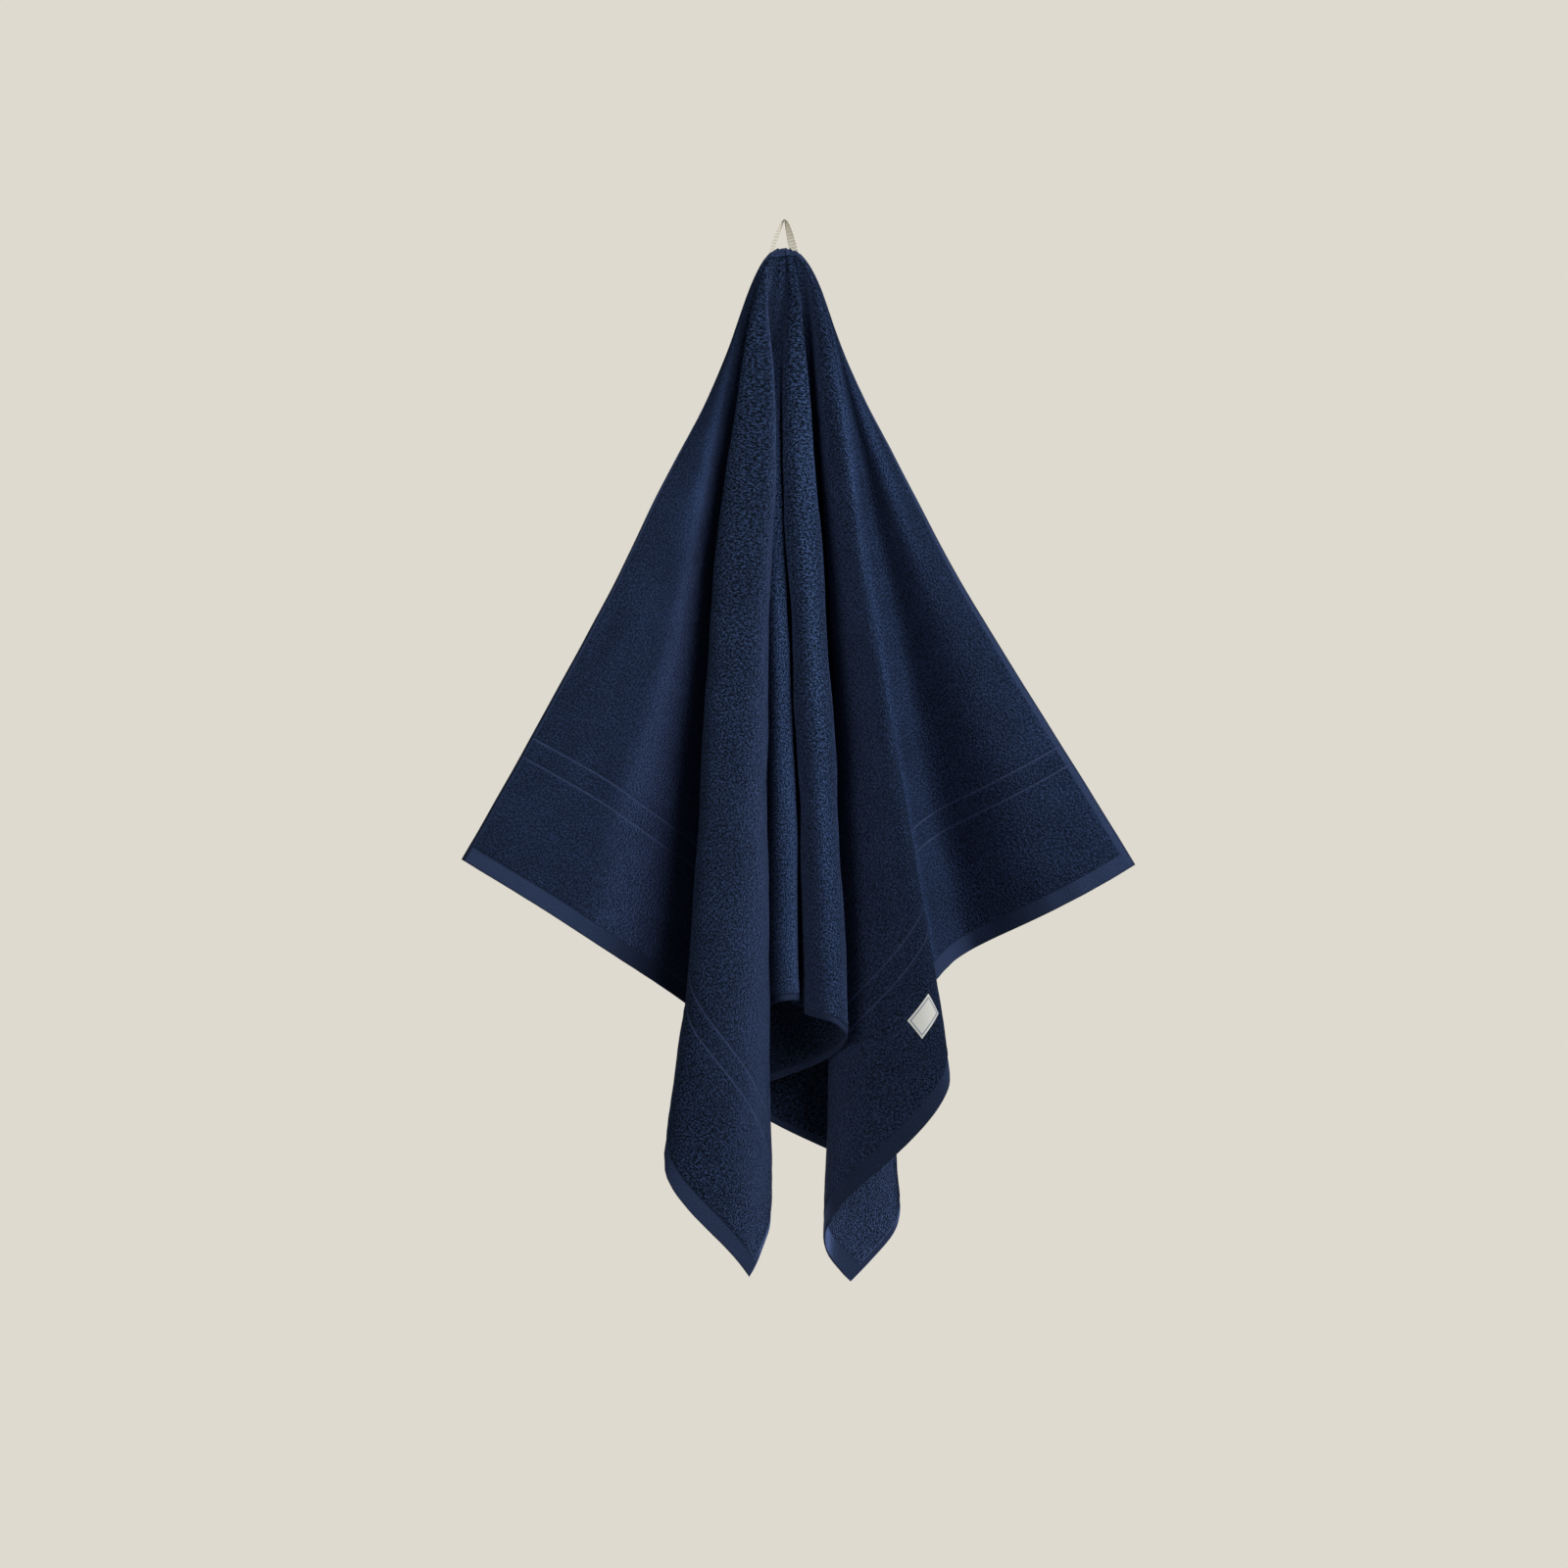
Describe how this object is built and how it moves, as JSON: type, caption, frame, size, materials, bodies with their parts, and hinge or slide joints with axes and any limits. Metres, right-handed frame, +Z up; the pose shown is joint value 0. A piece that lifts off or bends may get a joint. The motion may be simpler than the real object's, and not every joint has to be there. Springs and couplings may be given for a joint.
{
  "type": "bath towel",
  "caption": "Navy terry bath towel hung by a woven loop at the middle of one long side, its sides spread and its middle gathered in deep folds.",
  "frame": {"origin": "hang point at the top of the hang loop", "axes": "+Z up, +X to the right as seen from the front, +Y toward the wall behind the towel, which would stand at about y = 0.030 m"},
  "size_m": [0.642, 0.1655, 0.9968],
  "materials": {
    "towel": "matt looped cotton pile",
    "hang_loop": "matt woven tape",
    "label": "smooth woven satin tape"
  },
  "bodies": {
    "root": {"towel": "towel", "hang_loop": "hang_loop", "label": "label"}
  },
  "joints": []
}
